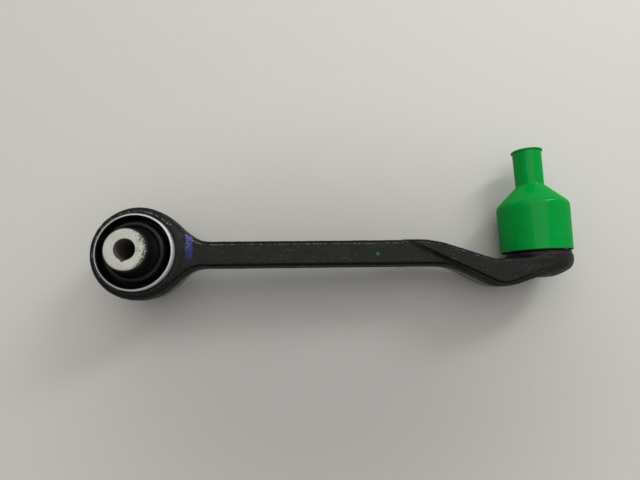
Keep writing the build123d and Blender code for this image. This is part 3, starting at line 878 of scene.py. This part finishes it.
stud = {
    "ball": 12.0, "ballPoints": 60, "neck": 6.4, "neckTop": 7.97, "neckRound": 1.5,
    "seat": 8.2, "seatBase": 14.47, "seatRound": 1.0, "taperBase": 21.47, "taperEnd": 7.1,
    "reliefBase": 36.47, "relief": 5.9, "reliefDrop": 0.4, "edge": 0.3,
    "threadBase": 38.47, "thread": 7.0, "top": 56.97, "chamfer": 1.2,
    "pitch": 1.5, "threadDepth": 0.9, "threadStep": 0.14, "waveGain": 1.25, "waveDrop": 0.1,
    "neckGap": 0.05, "reliefLead": 0.3, "threadLead": 0.5, "threadGap": 0.1,
    "endRadius": 5.4, "socket": 2.5, "socketDepth": 4.0, "socketStep": 0.5, "socketGap": 0.02,
}


def studShape(radius, level, angle):
    # thread: radius less depth times a triangle wave of level / pitch - turns; socket: hexagon in polar form
    s = SimpleNamespace(**stud)
    wave = np.abs(((level / s.pitch - angle / (2 * np.pi)) % 1) * 2 - 1)
    depth = s.threadDepth * np.clip(wave * s.waveGain - s.waveDrop, 0, 1)
    onThread = (level > s.threadBase + s.threadGap) & (radius > s.relief - s.threadGap)
    fade = np.clip(level - s.threadBase, 0, 1)
    radius = np.where(onThread, np.minimum(radius, s.thread - depth * fade), radius)
    side = (angle % (np.pi / 3)) - np.pi / 6
    inSocket = (level > s.top - s.socketDepth - s.socketGap) & (radius <= s.socket + s.socketGap)
    return np.where(inSocket, radius / np.cos(side), radius)


def studBody():
    # profile from the ball's pole over its arc, neck, seat, taper, relief and thread into the drive socket
    s = SimpleNamespace(**stud)
    ballTurn = np.linspace(-np.pi / 2, np.arccos(s.neck / s.ball), s.ballPoints)
    ball = np.stack((s.ball * np.cos(ballTurn), ballLevel + s.ball * np.sin(ballTurn)), axis=-1)
    ball[0, 0] = 0
    shaft = roundedLine(
        [
            (s.neck, ball[-1, 1] + s.neckGap, 0), (s.neck, s.neckTop, s.neckRound),
            (s.seat, s.seatBase, s.seatRound), (s.seat, s.taperBase, s.edge),
            (s.taperEnd, s.reliefBase, s.edge), (s.relief, s.reliefBase + s.reliefDrop, s.edge),
            (s.relief, s.threadBase - s.reliefLead, s.edge), (s.thread, s.threadBase + s.threadLead, 0),
        ],
        step=1.0, closed=False,
    )
    start, finish = s.threadBase + s.threadLead + s.threadGap, s.top - s.chamfer
    threadLine = [(s.thread, start, 0), (s.thread, finish, 0), (s.thread - s.chamfer, s.top, 0)]
    thread = roundedLine(threadLine, step=s.threadStep, closed=False)
    end = roundedLine([(s.endRadius, s.top, 0), (s.socket + s.socketStep, s.top, 0)], step=0.6, closed=False)
    floor = s.top - s.socketDepth
    socketLine = [(s.socket, s.top - s.socketGap, 0), (s.socket, floor, 0), (0.0, floor, 0)]
    socket = roundedLine(socketLine, step=0.8, closed=False)
    profile = np.vstack((ball, shaft, thread, end, socket))
    return turned(profile, "stud", segments=180, closed=False, shape=studShape)


boot = {
    "wall": 1.1, "bead": 18.15, "beadBase": -6.75, "beadTop": -3.65, "beadBore": 15.85, "beadRise": 1.5,
    "bulge": 18.6, "seam": 11.0, "seamStep": 0.05,
    "turn": 13.6, "turnInset": 0.4, "turnRadius": 3.0,
    "innerTurn": 12.2, "innerInset": 2.1, "innerRadius": 2.0,
    "flare": 1.0, "flareDrop": 1.2, "neckDrop": 0.5, "boreDrop": 2.2,
    "neckBore": 8.25, "neck": 10.2, "neckBase": 16.97, "neckTop": 22.57,
    "lowerRing": -5.2, "upperRing": 19.77, "channelDepth": 1.0, "channelEdge": 0.1,
    "lipEdge": 0.2, "edge": 0.3, "neckEdge": 0.4,
    "ringHalf": 0.8, "ringWall": 1.0, "ringGap": 0.04, "ringEdge": 0.15,
}


def channel(radius, level):
    # the groove that a ring lies in, from its lower to its upper edge
    b = SimpleNamespace(**boot)
    floor = radius - b.channelDepth
    low, high = level - b.ringHalf, level + b.ringHalf
    foot = [(radius, low, b.channelEdge), (floor, low, b.channelEdge)]
    return foot + [(floor, high, b.channelEdge), (radius, high, b.lipEdge)]


def bootHalves():
    # one wall followed from the bead to the neck, cut in two at the seam so that each half bends once
    b = SimpleNamespace(**boot)
    outer = b.bulge - b.seamStep
    inner = outer - b.wall
    lower = [
        (b.beadBore, b.beadBase, b.lipEdge), (b.bead, b.beadBase, b.edge), *channel(b.bead, b.lowerRing),
        (b.bead + b.seamStep, b.beadTop + b.beadRise, b.beadRise), (outer, b.seam, 0), (inner, b.seam, 0),
        (b.bead - b.wall, b.beadTop, b.lipEdge), (b.beadBore, b.beadTop, b.lipEdge),
    ]
    upper = [
        (inner, b.seam, 0), (outer, b.seam, 0), (b.bulge - b.turnInset, b.turn, b.turnRadius),
        (b.neck + b.flare, b.neckBase - b.flareDrop, b.flare), (b.neck, b.neckBase - b.neckDrop, b.neckEdge),
        *channel(b.neck, b.upperRing), (b.neck, b.neckTop, b.neckEdge), (b.neckBore, b.neckTop, b.edge),
        (b.neckBore, b.neckBase - b.boreDrop, b.neckEdge),
        (b.bulge - b.innerInset, b.innerTurn, b.innerRadius),
    ]
    return (turned(roundedLine(line, step=0.8), "stud", segments=176) for line in (lower, upper))


def flatRing(radius, level):
    # a flat band that stays short of its channel's walls by the gap
    b = SimpleNamespace(**boot)
    inner = radius - b.ringWall + b.ringGap
    half = b.ringHalf - b.ringGap
    section = band(inner, radius, level - half, level + half, b.channelEdge, b.ringEdge)
    return turned(roundedLine(section, step=0.8), "stud", segments=160)


addPiece("ballStud", *studBody(), "stud_steel", ["ball_stud"], "stud", 35)
bootLower, bootUpper = bootHalves()
lowerBoot = addPiece("bootLower", *bootLower, "boot_rubber", ["dust_boot"])
upperBoot = addPiece("bootUpper", *bootUpper, "boot_rubber", ["dust_boot"])
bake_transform(lowerBoot)
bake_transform(upperBoot)
lowerRing = flatRing(boot["bead"], boot["lowerRing"])
upperRing = flatRing(boot["neck"], boot["upperRing"])
addPiece("bootLowerRing", *lowerRing, "ring_steel", ["boot_lower_ring"], "forging")
addPiece("bootUpperRing", *upperRing, "ring_steel", ["boot_upper_ring"], "boot_top")

# The race and its closing ring keep their CAD shapes

for node, slot in (("bearing_shell", "race_plastic"), ("closing_ring", "ring_steel")):
    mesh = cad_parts[node].data
    mesh.materials.clear()
    mesh.materials.append(finishes[slot])

# Transport cap

cap = {
    "wall": 0.6, "rim": 21.0, "rimLevel": -6.1, "rimRise": (0.1, 0.15, 0.12), "rimEdge": 0.2,
    "shoulder": 21.7, "shoulderLevel": 23.5, "shoulderRadius": 5.0,
    "neck": 8.5, "neckLevel": 36.6, "neckRadius": 2.0, "inset": 0.25,
    "top": 8.75, "topLevel": 60.21, "topEdge": 0.25, "topDrop": 0.1, "floorEdge": 0.3,
    "lip": 9.5, "lipThickness": 0.7, "lipEdge": 0.12,
    "ovalFrom": 30, "ovalOver": 36, "ovals": ((0.004, 2, 0.6), (0.0015, 5, 1.0)),  # share, waves and turn
}


def capShape(radius, level, angle):
    # the thin wall is a little out of round, by two cosine waves that grow towards its open rim
    share = np.clip((cap["ovalFrom"] - level) / cap["ovalOver"], 0, 1)
    oval = sum(part * np.cos(waves * angle + turn) for part, waves, turn in cap["ovals"])
    return radius * (1 + share * oval)


def capBody():
    # profile from the rim up the outside to the middle of the top, then down the inside
    c = SimpleNamespace(**cap)
    w = c.wall
    floor = c.topLevel - c.lipThickness
    first, outside, last = (c.rimLevel + rise for rise in c.rimRise)
    outer = roundedLine(
        [
            (c.rim - w, first, 0), (c.rim - w / 2, c.rimLevel, c.rimEdge), (c.rim, outside, c.rimEdge),
            (c.shoulder, c.shoulderLevel, c.shoulderRadius), (c.neck, c.neckLevel, c.neckRadius),
            (c.top, floor - c.topDrop, c.topEdge), (c.lip, floor, c.lipEdge),
            (c.lip, c.topLevel, c.topEdge), (0.0, c.topLevel, 0),
        ],
        step=1.2, closed=False,
    )
    inner = roundedLine(
        [
            (0.0, floor, 0), (c.top - w, floor, c.floorEdge),
            (c.neck - w, c.neckLevel + c.inset, c.neckRadius),
            (c.shoulder - w, c.shoulderLevel - c.inset, c.shoulderRadius - w), (c.rim - w, last, 0),
        ],
        step=1.2, closed=False,
    )
    return turned(np.vstack((outer, inner)), "stud", segments=240, closed=False, shape=capShape)


addPiece("transportCap", *capBody(), "cap_plastic", ["transport_cap"], "cap", 50)

# Floor, lights and camera

stage = {
    "normal": (-0.03515, 0.0, 0.99938), "height": -30.41, "middle": 0.12, "floorHalf": 4,
    "color": (0.605, 0.59, 0.55, 1.0), "roughness": 0.75, "level": 0.2,
    "shade": (0.43, 0.42, 0.40, 1.0), "shadePlace": (0.115, -0.075),
    "shadeReach": (0.03, 0.20), "shadeStretch": 0.75,
    "backdrop": (0.62, 0.615, 0.59, 1.0), "brightSide": (0.42, 0.36, 0.83), "skyRange": (-0.25, 0.95),
    "dim": (0.265, 0.265, 0.265, 1.0), "bright": (0.53, 0.53, 0.53, 1.0),
    "cameraPlace": (97.858, -30.15, 273.892), "lens": 24.67, "sensor": 36.0, "clipStart": 0.01,
    "forward": (0.04215, 0.12990, -0.99063), "up": (0.03609, 0.99935, 0.00136),
}
lamps = {
    "key": {
        "shape": "DISK", "size": (1.5, 1.5), "power": 7.9, "color": (1.0, 0.98, 0.94),
        "place": (0.08, 0.56, 1.10), "target": (0.12, 0.0, 0.0),
    },
    "window": {
        "shape": "RECTANGLE", "size": (0.42, 0.18), "power": 4.4, "color": (0.88, 0.95, 0.97),
        "place": (0.74, 0.66, 0.60), "target": (0.24, 0.02, 0.0),
    },
}


def aimed(place, forward, up):
    # columns: right, up and back of a lamp or a camera that looks along forward
    forward = np.array(forward, float) / np.linalg.norm(forward)
    right = np.cross(forward, up)
    right /= np.linalg.norm(right)
    matrix = np.eye(4)
    matrix[:3, :3] = np.stack((right, np.cross(right, forward), -forward), axis=-1)
    matrix[:3, 3] = place
    return Matrix(matrix.tolist())


def floorMaterial():
    # pale, and a little darker in a soft patch below the middle of the arm, a painted shadow
    s = SimpleNamespace(**stage)
    material, tree, inputs = newMaterial("floor", Roughness=s.roughness, Specular_IOR_Level=s.level)
    x, y, _ = partsOf(tree, objectPlace(tree))
    across = product(tree, calc(tree, "SUBTRACT", x, s.shadePlace[0]), s.shadeStretch)
    away = distance(tree, across, calc(tree, "SUBTRACT", y, s.shadePlace[1]))
    share = ranged(tree, away, *s.shadeReach, kind="SMOOTHSTEP")
    tree.links.new(mixColor(tree, share, s.shade, s.color), inputs["Base Color"])
    return material


def addFloor():
    # a square on the plane through height on the normal, below the arm's middle
    s = SimpleNamespace(**stage)
    normal = np.array(s.normal) / np.linalg.norm(s.normal)
    side = np.cross((0, 1, 0), normal)
    side /= np.linalg.norm(side)
    upward = np.cross(normal, side)
    middle = normal * s.height * mm + np.array((s.middle, 0.0, 0.0)) - normal * normal[0] * s.middle
    half = s.floorHalf
    turns = ((-half, -half), (half, -half), (half, half), (-half, half))
    corners = [middle + side * i + upward * j for i, j in turns]
    mesh = bpy.data.meshes.new("floor")
    mesh.from_pydata([corner.tolist() for corner in corners], [], [(0, 1, 2, 3)])
    mesh.materials.append(floorMaterial())
    floor = bpy.data.objects.new("floor", mesh)
    bpy.context.scene.collection.objects.link(floor)


def addLamp(name, values):
    v = SimpleNamespace(**values)
    lamp = bpy.data.lights.new(name, "AREA")
    lamp.shape = v.shape
    lamp.size, lamp.size_y = v.size
    lamp.energy = v.power
    lamp.color = v.color
    item = bpy.data.objects.new(name, lamp)
    item.matrix_world = aimed(v.place, np.subtract(v.target, v.place), (0, 1, 0))
    bpy.context.scene.collection.objects.link(item)


def addSky():
    # the sky is brighter above and to the right and dimmer low down; the camera sees a plain pale backdrop
    s = SimpleNamespace(**stage)
    world = bpy.data.worlds.new("studio")
    bpy.context.scene.world = world
    world.use_nodes = True
    tree = world.node_tree
    toward = tuple(np.array(s.brightSide) / np.linalg.norm(s.brightSide))
    direction = addNode(tree, "TexCoord").outputs["Generated"]
    facing = addNode(tree, "VectorMath", {"operation": "DOT_PRODUCT"}, in0=direction, in1=toward)
    share = ranged(tree, facing.outputs["Value"], *s.skyRange, kind="SMOOTHSTEP")
    sky = mixColor(tree, share, s.dim, s.bright)
    seen = addNode(tree, "LightPath").outputs["Is Camera Ray"]
    tree.links.new(mixColor(tree, seen, sky, s.backdrop), tree.nodes["Background"].inputs["Color"])


def addCamera():
    s = SimpleNamespace(**stage)
    data = bpy.data.cameras.new("camera")
    data.sensor_width = s.sensor
    data.lens = s.lens
    data.clip_start = s.clipStart
    camera = bpy.data.objects.new("camera", data)
    camera.matrix_world = aimed(np.array(s.cameraPlace) * mm, s.forward, s.up)
    bpy.context.scene.collection.objects.link(camera)
    bpy.context.scene.camera = camera


addFloor()
addSky()
for name, values in lamps.items():
    addLamp(name, values)
addCamera()
bpy.context.scene.view_settings.view_transform = "Standard"
report("floor, lights and camera")
